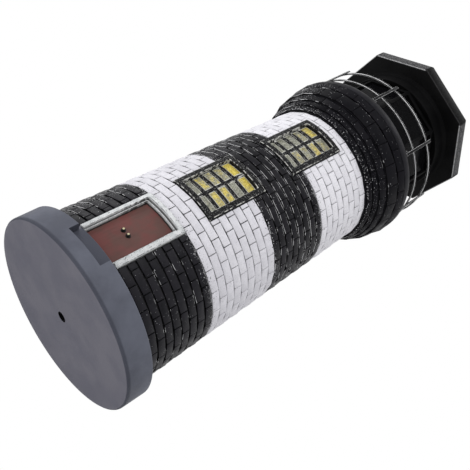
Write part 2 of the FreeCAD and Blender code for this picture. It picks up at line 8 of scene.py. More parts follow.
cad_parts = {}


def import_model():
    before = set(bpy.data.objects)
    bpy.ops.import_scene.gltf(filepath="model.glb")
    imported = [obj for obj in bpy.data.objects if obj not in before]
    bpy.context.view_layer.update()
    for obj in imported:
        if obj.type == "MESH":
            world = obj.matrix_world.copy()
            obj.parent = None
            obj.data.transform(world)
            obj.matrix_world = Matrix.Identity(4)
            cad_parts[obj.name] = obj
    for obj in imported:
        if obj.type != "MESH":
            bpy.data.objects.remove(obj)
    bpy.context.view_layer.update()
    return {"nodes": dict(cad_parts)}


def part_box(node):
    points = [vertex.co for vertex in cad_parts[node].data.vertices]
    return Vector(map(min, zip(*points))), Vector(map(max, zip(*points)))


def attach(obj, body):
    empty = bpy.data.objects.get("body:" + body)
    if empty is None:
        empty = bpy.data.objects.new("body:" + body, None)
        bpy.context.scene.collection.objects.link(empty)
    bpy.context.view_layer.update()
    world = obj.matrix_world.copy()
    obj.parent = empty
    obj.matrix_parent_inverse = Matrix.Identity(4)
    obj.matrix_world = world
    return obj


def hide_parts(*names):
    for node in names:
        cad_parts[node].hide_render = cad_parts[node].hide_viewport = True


# A solar garden lighthouse: brick tower in black and white bands, round grey base, flared brick
# gallery with a thin railing, smoked lantern and octagonal roof. Metres, +Z up, door towards -Y.

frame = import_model()

MM = 0.001
TOUCHING = 1e-6                     # points closer than this are one
BRICKS_ROUND = 24
OCTAGON = 8
FINE_ROUND = 144                    # steps of a full turn on the large round pieces
BASE_ROUND = 192
FRAMED = ("door_frame", "lower_window_frame", "upper_window_frame")
SEEDS = {"black": 11, "white": 12, "corbel": 13}

# ---- driving sizes ----

BASE_RADIUS = 55.0 * MM
BASE_HOLE = 3.0 * MM                # radius
PLINTH_TOP = 17.5 * MM
DOORSTEP = 25.0 * MM                # width of the cut in the base's rim
STEP_TOP = 9.5 * MM
TOWER_FOOT_RADIUS = 49.75 * MM      # brick corners where the tower meets the plinth
TAPER = 0.035
BANDS = (("black", 60.0 * MM, 8), ("white", 107.5 * MM, 9),
         ("black", 148.0 * MM, 8), ("white", 189.0 * MM, 8))       # paint, top, courses
PAINT_LINES = [top for _, top, _ in BANDS]
TOWER_TOP = PAINT_LINES[-1]
CORBEL_COURSES = ((4.0 * MM, 46.8 * MM), (3.6 * MM, 48.5 * MM), (5.2 * MM, 50.6 * MM),
                  (8.5 * MM, 52.9 * MM), (5.5 * MM, 54.1 * MM))    # height, corner radius
CORBEL_FLARE = 1.3 * MM
ROOF_CORNER, _, ROOF_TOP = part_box("roof_cap")[1]
ROOF_FLAT = ROOF_CORNER * math.cos(math.pi / OCTAGON)
IN_FRONT = -60 * MM                 # clear of the tower and the base on the door's side

BRICK_DEPTH = 3.0 * MM
HEAD_JOINT = 0.42 * MM
BED_JOINTS = {"white": 0.5 * MM, "black": 0.95 * MM, "corbel": 0.8 * MM}
BRICK_ARRIS = 0.34 * MM
BRICK_UNEVEN = 0.1 * MM
JOINT_DEPTH = 0.8 * MM
SMALLEST_BRICK = 0.7 * MM
FLAT = math.cos(math.pi / BRICKS_ROUND)   # a brick face's distance from the axis over its corner's


def corner_radius(z):
    """How far the brick corners stand from the axis at height z."""
    return TOWER_FOOT_RADIUS - (z - PLINTH_TOP) * TAPER


# ---- finishes ----

finishes = {}                       # each finish's material, by the finish's name


class Finish:
    """A Principled material that is built up node by node."""

    def __init__(self, name, colour=(0.5, 0.5, 0.5), **sockets):
        finishes[name] = bpy.data.materials.new(name)
        finishes[name].use_nodes = True
        self.tree = finishes[name].node_tree
        self.shader = self.tree.nodes["Principled BSDF"]
        self.set("Base Color", (*colour, 1.0))
        for socket, value in sockets.items():
            self.set(socket.replace("_", " "), value)
        self.coordinates = self.node("TexCoord").outputs["Object"]

    def set(self, socket, value):
        """Gives one of the shader's sockets a number, a colour or a link."""
        self.feed(self.shader.inputs[socket], value)

    def feed(self, socket, value):
        """Gives any socket a value, or links it where the value is another node's output."""
        if isinstance(value, bpy.types.NodeSocket):
            self.tree.links.new(value, socket)
        else:
            socket.default_value = value

    def node(self, kind, **inputs):
        """A new node with some of its inputs fed."""
        node = self.tree.nodes.new("ShaderNode" + kind)
        for socket, value in inputs.items():
            self.feed(node.inputs[socket.replace("_", " ")], value)
        return node

    def noise(self, size, detail=3.0, roughness=0.55, stretch=None):
        """Cloudy noise whose blots are about size metres across."""
        source = self.coordinates
        if stretch:
            source = self.node("Mapping", Scale=stretch, Vector=source).outputs["Vector"]
        node = self.node("TexNoise", Scale=1.0 / size, Detail=detail, Roughness=roughness, Vector=source)
        return node.outputs["Fac"]

    def attribute(self, name):
        """What the modelling has noted at each point under this name."""
        node = self.node("Attribute")
        node.attribute_name = name
        return node.outputs["Fac"]

    def place(self, axis):
        """One object coordinate, in metres."""
        return self.node("SeparateXYZ", Vector=self.coordinates).outputs[axis]

    def radius(self):
        """The distance from the tower's axis, in metres."""
        across, along = self.place("X"), self.place("Y")
        return self.maths("SQRT", self.plus(self.times(across, across), self.times(along, along)))

    def step(self, value, low, high, to_low=0.0, to_high=1.0):
        """Rises from to_low to to_high while value goes from low to high."""
        node = self.node("MapRange", Value=value, From_Min=low, From_Max=high, To_Min=to_low, To_Max=to_high)
        node.interpolation_type = "SMOOTHSTEP"
        return node.outputs["Result"]

    def maths(self, operation, first, second=0.0):
        """One of the Math node's operations on one or two values."""
        node = self.node("Math")
        node.operation = operation
        self.feed(node.inputs[0], first)
        self.feed(node.inputs[1], second)
        return node.outputs["Value"]

    def times(self, first, second):
        return self.maths("MULTIPLY", first, second)

    def plus(self, first, second):
        return self.maths("ADD", first, second)

    def minus(self, first, second):
        return self.maths("SUBTRACT", first, second)

    def larger(self, first, second):
        return self.maths("MAXIMUM", first, second)

    def below(self, value, limit):
        """1 where the value is under the limit, else 0."""
        return self.maths("LESS_THAN", value, limit)

    def mix(self, factor, first, second):
        """The first colour, going over to the second as factor goes to 1."""
        node = self.node("Mix")
        node.data_type = "RGBA"
        self.feed(node.inputs["Factor"], factor)
        for socket, colour in (("A", first), ("B", second)):
            self.feed(node.inputs[socket], (*colour, 1.0) if isinstance(colour, tuple) else colour)
        return node.outputs["Result"]

    def bump(self, height, depth):
        """Relief of about depth metres."""
        self.set("Normal", self.node("Bump", Distance=depth, Height=height).outputs["Normal"])


def moulded(name, colour, other, roughness, blot=6 * MM, relief=0.03 * MM, **sockets):
    """Painted or moulded plastic: a cloudy shift between two close colours and a fine grain."""
    finish = Finish(name, colour, **sockets)
    cloud = finish.step(finish.noise(blot, detail=4.0), 0.35, 0.65)
    finish.set("Base Color", finish.mix(cloud, colour, other))
    smear = finish.noise(blot / 2)
    finish.set("Roughness", finish.step(smear, 0.3, 0.7, roughness - 0.06, roughness + 0.06))
    finish.bump(finish.noise(0.5 * MM), relief)


def filled_joints(finish):
    """Where paint has run into the joints: in blots, round the sides and almost all of it higher up."""
    away = finish.maths("ABSOLUTE", finish.place("X"))
    drift = finish.times(finish.minus(finish.noise(16 * MM), 0.5), 40 * MM)
    round_sides = finish.step(finish.plus(away, drift), 24 * MM, 38 * MM)
    higher_up = finish.step(finish.place("Z"), 92 * MM, 150 * MM, 0.0, 0.95)
    missed = finish.step(finish.noise(5 * MM), 0.62, 0.70, 1.0, 0.3)
    blots = finish.step(finish.noise(1.9 * MM, detail=2.0), 0.47, 0.56, 0.0, 0.8)
    return finish.larger(finish.times(finish.larger(round_sides, higher_up), missed), blots)


def flecks(finish, near, size=0.7 * MM, from_value=0.72):
    """Fine spots, few of them but many where near is 1."""
    value = finish.plus(finish.noise(size, detail=2.0), finish.times(near, 0.16))
    return finish.step(value, from_value, from_value + 0.03)


def white_brick_paint():
    """White masonry paint, lightest on the upper band: grey clouds, and dark flecks by the paint lines."""
    finish = Finish("white_brick_paint", Specular_IOR_Level=0.2)
    tint, joint, line = (finish.attribute(name) for name in ("tint", "joint", "paint_line"))
    cloud = finish.step(finish.noise(5 * MM, detail=4.0), 0.3, 0.7)
    face = finish.mix(cloud, (0.79, 0.78, 0.83), (0.71, 0.70, 0.75))
    face = finish.mix(finish.step(finish.place("Z"), 120 * MM, 150 * MM), face, (0.86, 0.85, 0.90))
    face = finish.mix(finish.times(tint, 0.3), face, (0.60, 0.59, 0.64))
    grain = finish.step(finish.noise(0.6 * MM, detail=2.0), 0.5, 0.66, 0.0, 0.4)
    face = finish.mix(grain, face, (0.50, 0.50, 0.53))
    face = finish.mix(flecks(finish, line), face, (0.10, 0.10, 0.105))
    groove = finish.mix(filled_joints(finish), (0.05, 0.05, 0.055), (0.60, 0.60, 0.62))
    finish.set("Base Color", finish.mix(finish.step(joint, 0.3, 0.6), face, groove))
    finish.set("Roughness", finish.step(cloud, 0.0, 1.0, 0.5, 0.62))
    finish.bump(finish.noise(0.8 * MM), 0.06 * MM)


def black_brick_paint(name, shine, shift):
    """Black masonry paint: bricks that differ by the shift; pale arrises, painted highlights that are partly
    wear, most on the lit side; flecks on the lit side, by the paint lines and low on the corbel; and
    painted shade on the upper band and, deeper, on the corbel."""
    painted_shade = (0.002, 0.002, 0.003)
    second_band = PAINT_LINES[1] - 3.5 * MM, PAINT_LINES[1] + 0.5 * MM
    corbel = TOWER_TOP - 2 * MM, TOWER_TOP + 1 * MM
    finish = Finish(name, Specular_IOR_Level=shine)
    tint, joint, line = (finish.attribute(name) for name in ("tint", "joint", "paint_line"))
    cloud = finish.step(finish.noise(4 * MM, detail=4.0), 0.3, 0.7)
    face = finish.mix(cloud, (0.007, 0.007, 0.009), (0.014, 0.0135, 0.017))
    face = finish.mix(finish.times(tint, shift), face, (0.022, 0.021, 0.026))
    height = finish.place("Z")
    # painted shade: darker bricks from 100 mm up, and darker still from the corbel's foot up
    face = finish.mix(finish.step(height, 100 * MM, 130 * MM, 0.0, 0.3), face, painted_shade)
    face = finish.mix(finish.step(height, *corbel, 0.0, 0.5), face, painted_shade)
    # painted highlights, partly wear: pale arrises, most on the lit -X side and at the second band's foot,
    # fewer on the corbel
    highlight_side = finish.step(finish.place("X"), -12 * MM, -38 * MM)
    highlight_and_wear = finish.plus(finish.noise(6 * MM, detail=2.0), finish.times(highlight_side, 0.2))
    highlight_and_wear = finish.plus(highlight_and_wear, finish.step(height, *second_band, 0.0, 0.13))
    highlight_and_wear = finish.minus(highlight_and_wear, finish.step(height, *corbel, 0.0, 0.19))
    arris = finish.step(finish.attribute("arris"), 0.25, 0.7)
    face = finish.mix(finish.times(arris, finish.step(highlight_and_wear, 0.58, 0.70)), face, (0.76, 0.76, 0.78))
    low_corbel = finish.times(finish.step(height, TOWER_TOP - 1 * MM, TOWER_TOP + 1 * MM, 0.0, 0.35),
                              finish.step(height, 206 * MM, 192 * MM))
    # pale flecks, gathered on the lit -X side, by the paint lines and low on the corbel
    spotted = finish.larger(finish.larger(line, finish.times(highlight_side, 0.55)), low_corbel)
    face = finish.mix(flecks(finish, spotted), face, (0.60, 0.60, 0.62))
    finish.set("Base Color", finish.mix(finish.step(joint, 0.36, 0.5), face, (0.003, 0.003, 0.0035)))
    finish.set("Roughness", finish.step(cloud, 0.0, 1.0, 0.38, 0.5))
    finish.bump(finish.noise(0.8 * MM), 0.08 * MM)


def mortar():
    """The joints' floor, dark but for the paint that has run into the white bands' joints."""
    finish = Finish("mortar", Roughness=0.75, Specular_IOR_Level=0.1)
    height = finish.place("Z")
    white = []
    for foot, top in (PAINT_LINES[:2], PAINT_LINES[2:]):
        from_middle = finish.maths("ABSOLUTE", finish.minus(height, (foot + top) / 2))
        white.append(finish.below(from_middle, (top - foot) / 2))
    grain = finish.step(finish.noise(1 * MM), 0.4, 0.6)
    dark = finish.mix(grain, (0.008, 0.008, 0.009), (0.02, 0.02, 0.021))
    filled = finish.times(finish.larger(*white), filled_joints(finish))
    finish.set("Base Color", finish.mix(filled, dark, (0.52, 0.52, 0.54)))
    finish.bump(grain, 0.05 * MM)


def frame_paint(name, colour, shade, reveal_shade, fleck, fleck_from, arris_colour, arris_from):
    """Rough paint on the door and window frames: flecked, with painted shade in the door's reveals, and an
    arris colour that is a painted highlight on the window frames and darker on the door.
    """
    finish = Finish(name, Specular_IOR_Level=0.05)
    cloud = finish.step(finish.noise(3 * MM, detail=4.0), 0.35, 0.65)
    face = finish.mix(cloud, colour, shade)
    face = finish.mix(flecks(finish, 0.0, 0.55 * MM, fleck_from), face, fleck)
    # painted shade: the reveals take the reveal colour, grey on the door's white frame
    face = finish.mix(finish.step(finish.attribute("sunk"), 0.14, 0.3), face, reveal_shade)
    # arris colour: painted highlights on the window frames' arrises, darker arrises on the door
    highlight_and_wear = finish.times(finish.step(finish.attribute("arris"), arris_from, arris_from + 0.4),
                        finish.step(finish.noise(2 * MM), 0.44, 0.56))
    finish.set("Base Color", finish.mix(highlight_and_wear, face, arris_colour))
    finish.set("Roughness", finish.step(cloud, 0.0, 1.0, 0.42, 0.52))
    finish.bump(finish.noise(0.6 * MM), 0.1 * MM)


def base_paint():
    """Blue-grey plastic, bluer on the rim, with a painted shadow line at its lower edge and painted shade in
    the doorstep cut and in the hole."""
    skin = 0.05 * MM                # takes in the cut's own surfaces
    cut_side = -40 * MM
    finish = Finish("base_grey", Specular_IOR_Level=0.08)
    radius, height = finish.radius(), finish.place("Z")
    cloud = finish.step(finish.noise(25 * MM, detail=4.0), 0.35, 0.65)
    face = finish.mix(cloud, (0.138, 0.137, 0.166), (0.160, 0.157, 0.184))
    rim = finish.mix(cloud, (0.088, 0.093, 0.118), (0.128, 0.136, 0.170))
    grey = finish.mix(finish.step(radius, BASE_RADIUS - 1.0 * MM, BASE_RADIUS - 0.3 * MM), face, rim)
    # painted shadow line along the rim's rounded lower edge
    shadow_line = finish.times(finish.step(radius, BASE_RADIUS - 1.1 * MM, BASE_RADIUS - 0.6 * MM),
                              finish.step(height, 2.4 * MM, 1.2 * MM))
    grey = finish.mix(finish.times(shadow_line, 0.7), grey, (0.045, 0.048, 0.064))
    # painted shade: the hole is black
    grey = finish.mix(finish.below(radius, BASE_HOLE + 0.1 * MM), grey, (0.006, 0.006, 0.007))
    # painted shade over the doorstep cut's faces
    shaded_cut = finish.below(finish.maths("ABSOLUTE", finish.place("X")), DOORSTEP / 2 + skin)
    shaded_cut = finish.times(shaded_cut, finish.maths("GREATER_THAN", height, STEP_TOP - skin))
    shaded_cut = finish.times(shaded_cut, finish.below(finish.place("Y"), cut_side))
    finish.set("Base Color", finish.mix(shaded_cut, grey, (0.072, 0.076, 0.098)))
    finish.set("Roughness", finish.step(finish.noise(12 * MM), 0.3, 0.7, 0.5, 0.62))
    finish.bump(finish.noise(0.5 * MM), 0.03 * MM)


def leaf_paint():
    """Brown door paint with redder and greyer clouds, and painted shade along the frame."""
    finish = Finish("door_brown", Specular_IOR_Level=0.15)
    cloud = finish.step(finish.noise(9 * MM, detail=2.0), 0.35, 0.65)
    brown = finish.mix(cloud, (0.150, 0.052, 0.048), (0.118, 0.062, 0.054))
    streak = finish.step(finish.noise(2 * MM, detail=3.0, stretch=(1.0, 1.0, 0.15)), 0.45, 0.75)
    brown = finish.mix(finish.times(streak, 0.35), brown, (0.09, 0.04, 0.036))
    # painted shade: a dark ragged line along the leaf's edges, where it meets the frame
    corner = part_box("door_panel")[1]
    to_side = finish.minus(corner.x, finish.maths("ABSOLUTE", finish.place("X")))
    to_edge = finish.maths("MINIMUM", to_side, finish.minus(corner.z, finish.place("Z")))
    ragged = finish.times(finish.minus(finish.noise(1 * MM), 0.5), 1.2 * MM)
    edge_shade = finish.step(finish.plus(to_edge, ragged), 0.9 * MM, 0.5 * MM)
    finish.set("Base Color", finish.mix(edge_shade, brown, (0.02, 0.016, 0.016)))
    finish.set("Roughness", finish.step(cloud, 0.0, 1.0, 0.45, 0.58))
    finish.bump(finish.noise(1.2 * MM, stretch=(1.0, 1.0, 0.2)), 0.04 * MM)


def pane_plastic():
    """Amber plastic with painted light: the painted glow fades to olive grey by pane and in blots, and the
    pane's pale edge is a painted highlight that glows faintly.
    """
    finish = Finish("pane_amber", Roughness=0.35, Specular_IOR_Level=0.3)
    glow, rim = finish.attribute("glow"), finish.attribute("rim")
    blot = finish.noise(2.6 * MM, detail=3.0, roughness=0.7)
    # painted light: how lit each pane is, from its glow mark and blots, sets its colour and emission
    lit = finish.step(finish.plus(glow, finish.times(finish.minus(blot, rim), 1.1)), 0.70, 1.25)
    grain = finish.step(finish.noise(0.6 * MM, detail=2.0), 0.38, 0.62)
    olive = finish.mix(grain, (0.13, 0.132, 0.105), (0.40, 0.40, 0.33))
    amber = finish.mix(grain, (0.44, 0.33, 0.04), (0.74, 0.62, 0.14))
    # painted highlight: a pale edge round each pane, glowing faintly in places
    edge_highlight = finish.step(rim, 0.12, 0.35)
    colour = finish.mix(finish.times(edge_highlight, 0.85), finish.mix(lit, olive, amber), (0.66, 0.66, 0.60))
    finish.set("Base Color", colour)
    finish.set("Emission Color", colour)
    edge_glow = finish.times(edge_highlight, finish.step(finish.noise(3 * MM), 0.4, 0.6, 0.2, 0.5))
    finish.set("Emission Strength", finish.larger(finish.times(lit, 0.12), edge_glow))
    finish.bump(finish.noise(0.9 * MM), 0.12 * MM)


def knob_brass():
    """Pale brass fronts on knobs whose backs, stems and roses are painted dark as shade."""
    finish = Finish("knob_metal", Roughness=0.4, Specular_IOR_Level=0.2)
    cloud = finish.step(finish.noise(1 * MM), 0.4, 0.6)
    brass = finish.mix(cloud, (0.74, 0.68, 0.46), (0.60, 0.53, 0.33))
    # painted shade behind the knob's front
    behind = finish.step(finish.attribute("sunk"), 0.15, 0.3)
    finish.set("Base Color", finish.mix(behind, brass, (0.01, 0.01, 0.01)))


def roof_plastic():
    """Near-black plastic with a speckled grey edge band and painted highlights on its arrises; painted shade
    keeps the band black on the side to the door's right.
    """
    finish = Finish("roof_black", Roughness=0.45, Specular_IOR_Level=0.04)
    cloud = finish.step(finish.noise(20 * MM), 0.35, 0.65)
    plain = finish.mix(cloud, (0.0030, 0.0030, 0.0032), (0.0055, 0.0055, 0.0058))
    speckle = finish.step(finish.noise(0.8 * MM, detail=3.0), 0.35, 0.7)
    speckled = finish.mix(speckle, (0.02, 0.02, 0.021), (0.14, 0.14, 0.145))
    # painted highlights on the roof's arrises
    painted_highlight = finish.times(finish.attribute("arris"), finish.step(speckle, 0.0, 0.5, 0.5, 1.0))
    speckled = finish.mix(painted_highlight, speckled, (0.5, 0.5, 0.51))
    corner = finish.step(finish.radius(), ROOF_CORNER - 0.65 * MM, ROOF_CORNER - 0.35 * MM, 0.0, 0.85)
    turn = math.pi / OCTAGON
    outwards = finish.minus(finish.times(finish.place("X"), math.sin(turn)),
                            finish.times(finish.place("Y"), math.cos(turn)))
    # painted shade: the band on the side to the door's right stays black
    shaded_side = finish.times(finish.step(outwards, ROOF_FLAT - 1.3 * MM, ROOF_FLAT - 0.9 * MM, 0.0, 0.93),
                         finish.step(finish.place("Z"), ROOF_TOP - 0.3 * MM, ROOF_TOP - 0.9 * MM))
    band_kept = finish.minus(1.0, finish.larger(corner, shaded_side))
    band = finish.times(finish.attribute("edge_band"), band_kept)
    finish.set("Base Color", finish.mix(band, plain, speckled))
    finish.bump(finish.noise(0.5 * MM), 0.01 * MM)


def rail_paint():
    """Black gloss paint with painted highlights along the arrises, broken up in places."""
    finish = Finish("railing_black", Roughness=0.4, Specular_IOR_Level=0.1)
    cloud = finish.step(finish.noise(4 * MM), 0.35, 0.65)
    face = finish.mix(cloud, (0.006, 0.006, 0.007), (0.014, 0.014, 0.015))
    # painted highlight: pale arrises, weaker where the noise breaks them
    painted_highlight = finish.times(finish.step(finish.attribute("arris"), 0.4, 1.0),
                          finish.step(finish.noise(7 * MM), 0.35, 0.5, 0.45, 1.0))
    finish.set("Base Color", finish.mix(painted_highlight, face, (0.86, 0.86, 0.87)))
    finish.bump(finish.noise(0.6 * MM), 0.02 * MM)


def solar_cell():
    """Blue-black cells with silver fingers and bus bars under resin."""
    finish = Finish("solar_cell", Roughness=0.3, Specular_IOR_Level=0.1, Coat_Weight=0.05,
                    Coat_Roughness=0.1)
    cloud = finish.step(finish.noise(7 * MM, detail=1.0), 0.35, 0.65)
    cell = finish.mix(cloud, (0.008, 0.014, 0.045), (0.014, 0.026, 0.075))
    lines = []
    for axis, pitch, width in (("X", 1.6 * MM, 0.07), ("Y", 15.0 * MM, 0.06)):
        pitches = finish.plus(finish.maths("DIVIDE", finish.place(axis), pitch), 100.5)
        distance = finish.maths("ABSOLUTE", finish.minus(finish.maths("FRACT", pitches), 0.5))
        lines.append(finish.below(distance, width / 2))
    finish.set("Base Color", finish.mix(finish.larger(*lines), cell, (0.38, 0.40, 0.43)))


def smoked_plastic():
    """Dark see-through plastic, slightly wavy."""
    finish = Finish("smoked_glazing", (0.012, 0.012, 0.014), Roughness=0.12, IOR=1.1,
                    Transmission_Weight=0.7, Specular_IOR_Level=0.1)
    finish.bump(finish.noise(12 * MM, detail=1.0), 0.05 * MM)


white_brick_paint()
black_brick_paint("black_brick_paint", shine=0.08, shift=0.5)
black_brick_paint("corbel_brick_paint", shine=0.03, shift=1.6)
mortar()
base_paint()
# painted shade: the door's grey reveal colour; painted highlight: the window frames' pale arris colour
frame_paint("door_white", (0.74, 0.75, 0.76), (0.58, 0.60, 0.61), reveal_shade=(0.28, 0.28, 0.28),
            fleck=(0.08, 0.08, 0.08), fleck_from=0.63, arris_colour=(0.10, 0.10, 0.10), arris_from=0.4)
frame_paint("window_black", (0.008, 0.008, 0.009), (0.014, 0.014, 0.015), reveal_shade=(0.012, 0.012, 0.013),
            fleck=(0.26, 0.26, 0.26), fleck_from=0.62, arris_colour=(0.62, 0.62, 0.59), arris_from=0.1)
leaf_paint()
pane_plastic()
rail_paint()
roof_plastic()
solar_cell()
smoked_plastic()
knob_brass()
moulded("gallery_black", (0.006, 0.006, 0.008), (0.011, 0.0105, 0.014), 0.45, blot=5 * MM,
        Specular_IOR_Level=0.07)
moulded("head_black", (0.0032, 0.0032, 0.0035), (0.0058, 0.0058, 0.0062), 0.5, blot=20 * MM,
        relief=0.01 * MM, Specular_IOR_Level=0.03)
moulded("circuit_green", (0.02, 0.13, 0.05), (0.03, 0.17, 0.07), 0.35)
moulded("circuit_dark", (0.018, 0.018, 0.018), (0.03, 0.03, 0.03), 0.45)
moulded("lamp_clear", (0.82, 0.80, 0.66), (0.86, 0.84, 0.72), 0.12, Transmission_Weight=0.5, Coat_Weight=0.5)
moulded("mirror_face", (0.88, 0.88, 0.88), (0.85, 0.85, 0.85), 0.08, Metallic=1.0)
moulded("steel", (0.50, 0.50, 0.50), (0.42, 0.42, 0.43), 0.32, blot=2 * MM, Metallic=1.0)
moulded("cell_sleeve", (0.035, 0.20, 0.10), (0.045, 0.24, 0.12), 0.3, Coat_Weight=0.3)
moulded("contact_metal", (0.62, 0.62, 0.60), (0.56, 0.56, 0.55), 0.25, Metallic=1.0)
moulded("switch_white", (0.72, 0.72, 0.72), (0.66, 0.66, 0.66), 0.45)


# ---- modelling ----

def piece(name, bm, finish, node, body="tower"):
    """Makes a finished bmesh a piece that stands for the node or for a part of it. Its material slot holds
    the finish."""
    still_smooth = math.radians(35)
    bmesh.ops.recalc_face_normals(bm, faces=bm.faces)
    mesh = bpy.data.meshes.new(name)
    bm.to_mesh(mesh)
    bm.free()
    mesh.shade_smooth()
    mesh.set_sharp_from_angle(angle=still_smooth)
    mesh.materials.append(finishes[finish])
    thing = bpy.data.objects.new(name, mesh)
    bpy.context.scene.collection.objects.link(thing)
    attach(thing, body)
    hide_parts(node)
    return thing


def bevel(bm, geometry, width, segments=2, affect="EDGES"):
    """Rounds edges, or the corners of an outline."""
    bmesh.ops.bevel(bm, geom=geometry, offset=width, offset_type="OFFSET", segments=segments, profile=0.5,
                    affect=affect, clamp_overlap=True, material=-1)


def split(bm, faces, place, across):
    """Cuts the faces along the plane that goes through a place, square to the across direction."""
    edges = {edge for face in faces for edge in face.edges}
    verts = {vert for face in faces for vert in face.verts}
    bmesh.ops.bisect_plane(bm, geom=[*faces, *edges, *verts], plane_co=place, plane_no=across)


def sharp_edges(bm, angle=30):
    """The edges whose faces meet at more than the angle."""
    return [edge for edge in bm.edges if edge.is_manifold and edge.calc_face_angle() > math.radians(angle)]


def turned(bm, corners, steps=FINE_ROUND):
    """Turns a closed outline of (radius, height, rounding) corners about the tower's axis."""
    edge_highlight = [bm.verts.new((radius, 0, height)) for radius, height, _ in corners]
    bm.faces.new(edge_highlight)
    for vert, (_, _, rounding) in zip(edge_highlight, corners):
        if rounding:
            bevel(bm, [vert], rounding, segments=4, affect="VERTICES")
    bmesh.ops.delete(bm, geom=bm.faces[:], context="FACES_ONLY")
    bmesh.ops.spin(bm, geom=bm.verts[:] + bm.edges[:], cent=(0, 0, 0), axis=(0, 0, 1), angle=2 * math.pi,
                   steps=steps, use_merge=True)
    bmesh.ops.remove_doubles(bm, verts=bm.verts, dist=TOUCHING)


def box(bm, low, high):
    """A cube pulled to the size between two corners."""
    low, high = Vector(low), Vector(high)
    made = bmesh.ops.create_cube(bm, size=1.0)["verts"]
    bmesh.ops.scale(bm, verts=made, vec=high - low)
    bmesh.ops.translate(bm, verts=made, vec=(low + high) / 2)
    return made


def note_arris(bm, angle=30):
    """Marks for the finish the points where faces meet at more than the angle, the middle of a bevel."""
    layer = bm.verts.layers.float.new("arris")
    for edge in sharp_edges(bm, angle):
        for vert in edge.verts:
            vert[layer] = 1.0


def turn_round(bm, verts, angle):
    """Turns the points about the tower's axis."""
    bmesh.ops.rotate(bm, verts=verts, cent=(0, 0, 0), matrix=Matrix.Rotation(angle, 3, "Z"))


def opening(node, room):
    """The door or window opening that a node's box gives, as left, right, low and high."""
    low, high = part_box(node)
    return low.x - room, high.x + room, low.z - room, high.z + room


# ---- brickwork ----

def less(part, hole):
    """What is left of a rectangle outside a hole; both are left, right, low, high."""
    left, right, low, high = part
    hole_left, hole_right, hole_low, hole_high = hole
    from_left, from_right = max(left, hole_left), min(right, hole_right)
    if from_left >= right or from_right <= left or hole_low >= high or hole_high <= low:
        return [part]
    rest = [(left, from_left, low, high), (from_right, right, low, high),
            (from_left, from_right, low, max(low, hole_low)),
            (from_left, from_right, min(high, hole_high), high)]
    return [cut for cut in rest if min(cut[1] - cut[0], cut[3] - cut[2]) > SMALLEST_BRICK]


def brick_parts(turn, part, reach, openings):
    """A brick's face, less the door and windows where it lies on their side of the tower."""
    parts = [part]
    on_their_side = 0.6
    if math.cos(turn) > on_their_side:
        for left, right, low, high in openings:
            across = [(edge - reach * math.sin(turn)) / math.cos(turn) for edge in (left, right)]
            parts = [rest for whole in parts for rest in less(whole, (*across, low, high))]
    return parts


def is_brick_face(face, outwards):
    """Whether a face is a brick's own flat front and no part of its bevels."""
    facing_out = 0.9
    return (face.normal.dot(outwards) > facing_out
            and min(edge.calc_length() for edge in face.edges) > BRICK_ARRIS)


class Brickwork:
    """Bricks of one paint, laid one by one and bevelled together."""

    def __init__(self, kind):
        self.bm = bmesh.new()
        names = ("tint", "joint", "paint_line", "turn", "reach", "arris")
        layers = [self.bm.verts.layers.float.new(name) for name in names]
        self.tint, self.joint, self.paint_line, self.turn, self.reach, self.arris = layers
        self.dice = random.Random(SEEDS[kind])
        self.bed_joint = BED_JOINTS[kind]
        self.arrises = []

    def lay(self, turn, part, reach_low, reach_high):
        """One brick: a cube pulled to its place, its face a little uneven."""
        left, right, low, high = part
        tint = self.dice.random()
        made = bmesh.ops.create_cube(self.bm, size=2.0)["verts"]
        front = [vert for vert in made if vert.co.y < 0]
        self.arrises += {edge for vert in front for edge in vert.link_edges}
        for vert in made:
            reach = reach_high if vert.co.z > 0 else reach_low
            across = right if vert.co.x > 0 else left
            distance = reach + self.dice.uniform(-BRICK_UNEVEN, BRICK_UNEVEN)
            if vert.co.y > 0:
                distance = reach - BRICK_DEPTH
                across *= distance / reach
            vert.co = (across, -distance, high if vert.co.z > 0 else low)
            vert[self.tint], vert[self.turn], vert[self.reach] = tint, turn, reach
        turn_round(self.bm, made, turn)

    def course(self, number, low, high, radius_low, radius_high, openings=()):
        """A ring of bricks; every other course is shifted by half a brick."""
        reach_low, reach_high = radius_low * FLAT, radius_high * FLAT
        half_width = reach_high * math.tan(math.pi / BRICKS_ROUND) - HEAD_JOINT / 2
        for brick in range(BRICKS_ROUND):
            turn = (brick + 0.5 * (1 + number % 2)) * 2 * math.pi / BRICKS_ROUND
            whole = (-half_width, half_width, low + self.bed_joint / 2, high - self.bed_joint / 2)
            for part in brick_parts(turn, whole, reach_high, openings):
                self.lay(turn, part, reach_low, reach_high)

    def finish(self, name, paint, node, slot):
        """Bevels the bricks and notes for the paint the joints, the level arrises and the paint lines."""
        shallowest, line_reach = 0.15, 2.5 * MM
        bevel(self.bm, self.arrises, BRICK_ARRIS)
        for vert in self.bm.verts:
            outwards = Vector((math.sin(vert[self.turn]), -math.cos(vert[self.turn]), 0))
            sunk = (vert[self.reach] - vert.co.dot(outwards)) / JOINT_DEPTH
            on_face = any(is_brick_face(face, outwards) for face in vert.link_faces)
            vert[self.joint] = 0.0 if on_face else min(max(shallowest + sunk, shallowest), 1.0)
            from_line = min(abs(vert.co.z - line) for line in PAINT_LINES)
            vert[self.paint_line] = max(1 - from_line / line_reach, 0)
        for edge in sharp_edges(self.bm):
            first, second = edge.verts
            if abs(first.co.z - second.co.z) < edge.calc_length() / 2 and first[self.joint] < 0.5:
                first[self.arris] = second[self.arris] = 1.0
        piece(name, self.bm, paint, node)


